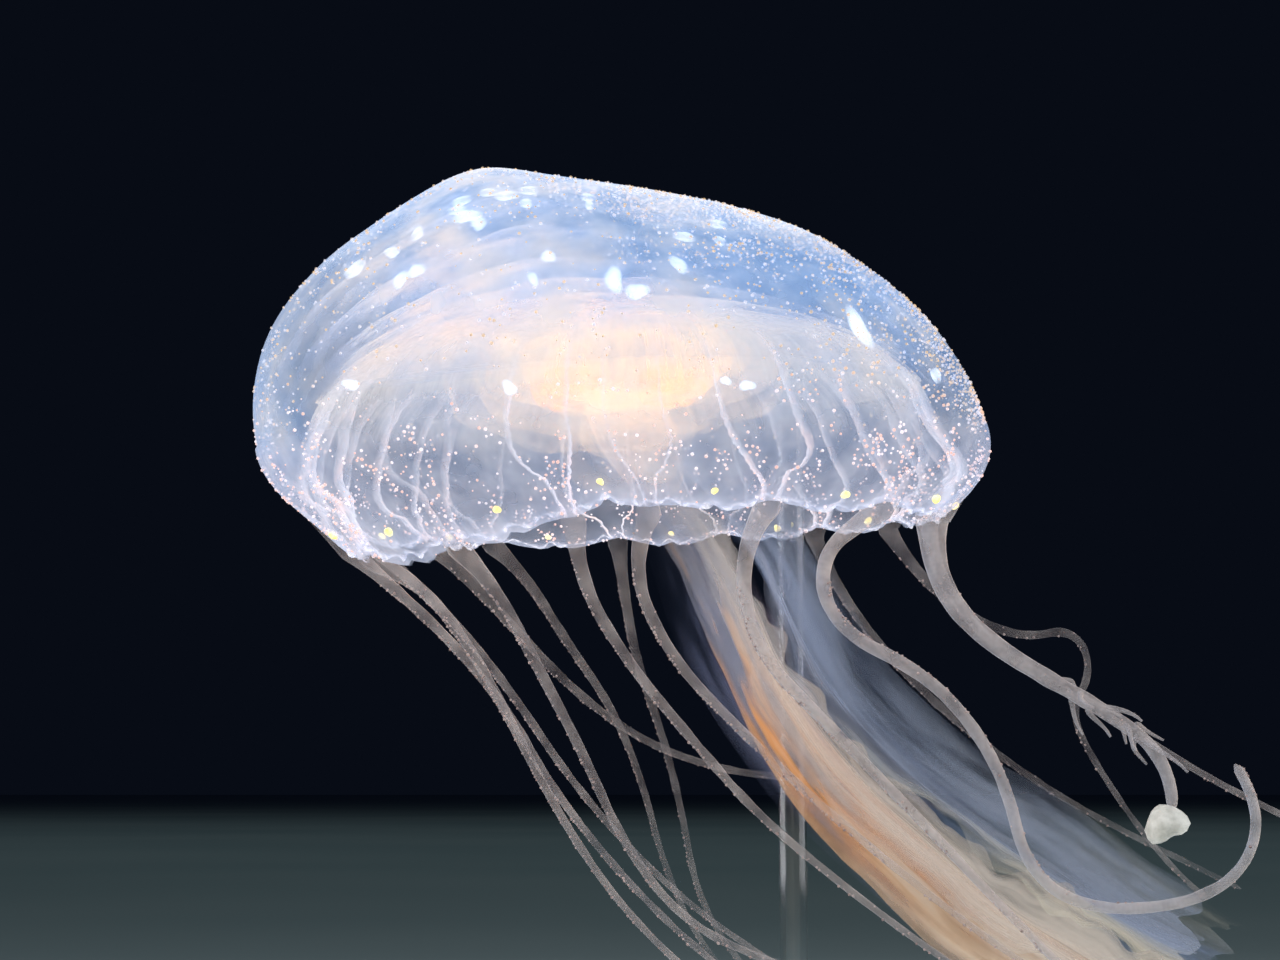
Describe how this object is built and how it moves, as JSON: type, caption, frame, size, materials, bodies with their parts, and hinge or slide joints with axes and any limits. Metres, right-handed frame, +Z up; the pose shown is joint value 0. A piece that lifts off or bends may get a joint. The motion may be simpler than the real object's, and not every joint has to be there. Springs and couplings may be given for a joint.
{
  "type": "sea jelly model on a display stand",
  "caption": "Life-size drifting sea jelly: a domed bell with a lobed margin, trailing tentacles and frilled oral arms, held on a clear rod over a flat base.",
  "frame": {"origin": "middle of the stand base's flat underside", "axes": "+Z up; +X to the side the arms and tentacles trail to; the front of the model faces -Y"},
  "size_m": [0.1762, 0.096, 0.1423],
  "materials": {
    "bell_jelly": "clear bluish jelly, glossy and wet",
    "margin_jelly": "thin milky jelly, glossy and wet",
    "stomach_tissue": "soft cream-orange tissue",
    "gonad_tissue": "soft orange tissue",
    "manubrium_tissue": "soft cream tissue",
    "oral_arm_tissue": "thin frilled tissue, orange to blue-grey",
    "tentacle_tissue": "translucent beige-grey with fine warts",
    "stand_plate": "polished pale acrylic",
    "stand_clear_rod": "clear polished acrylic"
  },
  "bodies": {
    "root": {"bell": "bell_jelly", "margin_lappets": "margin_jelly", "stomach": "stomach_tissue", "manubrium": "manubrium_tissue", "gonad_1": "gonad_tissue", "oral_arm_1_upper": "oral_arm_tissue", "oral_arm_1_middle": "oral_arm_tissue", "oral_arm_1_lower": "oral_arm_tissue", "gonad_2": "gonad_tissue", "oral_arm_2_upper": "oral_arm_tissue", "oral_arm_2_middle": "oral_arm_tissue", "oral_arm_2_lower": "oral_arm_tissue", "gonad_3": "gonad_tissue", "oral_arm_3_upper": "oral_arm_tissue", "oral_arm_3_middle": "oral_arm_tissue", "oral_arm_3_lower": "oral_arm_tissue", "gonad_4": "gonad_tissue", "oral_arm_4_upper": "oral_arm_tissue", "oral_arm_4_middle": "oral_arm_tissue", "oral_arm_4_lower": "oral_arm_tissue", "tentacle_01_upper": "tentacle_tissue", "tentacle_01_lower": "tentacle_tissue", "tentacle_02_upper": "tentacle_tissue", "tentacle_02_lower": "tentacle_tissue", "tentacle_03_upper": "tentacle_tissue", "tentacle_03_middle": "tentacle_tissue", "tentacle_03_lower": "tentacle_tissue", "tentacle_04_upper": "tentacle_tissue", "tentacle_04_lower": "tentacle_tissue", "tentacle_05_upper": "tentacle_tissue", "tentacle_05_lower": "tentacle_tissue", "tentacle_06_upper": "tentacle_tissue", "tentacle_06_lower": "tentacle_tissue", "tentacle_07_upper": "tentacle_tissue", "tentacle_07_lower": "tentacle_tissue", "tentacle_08_upper": "tentacle_tissue", "tentacle_08_lower": "tentacle_tissue", "tentacle_09_upper": "tentacle_tissue", "tentacle_09_lower": "tentacle_tissue", "tentacle_10_upper": "tentacle_tissue", "tentacle_10_lower": "tentacle_tissue", "tentacle_11_upper": "tentacle_tissue", "tentacle_11_lower": "tentacle_tissue", "tentacle_12_upper": "tentacle_tissue", "tentacle_12_lower": "tentacle_tissue", "tentacle_13_upper": "tentacle_tissue", "tentacle_13_lower": "tentacle_tissue", "tentacle_14_upper": "tentacle_tissue", "tentacle_14_lower": "tentacle_tissue", "tentacle_15_upper": "tentacle_tissue", "tentacle_15_lower": "tentacle_tissue", "tentacle_16_upper": "tentacle_tissue", "tentacle_16_lower": "tentacle_tissue", "stand_base": "stand_plate", "stand_rod": "stand_clear_rod"}
  },
  "joints": []
}
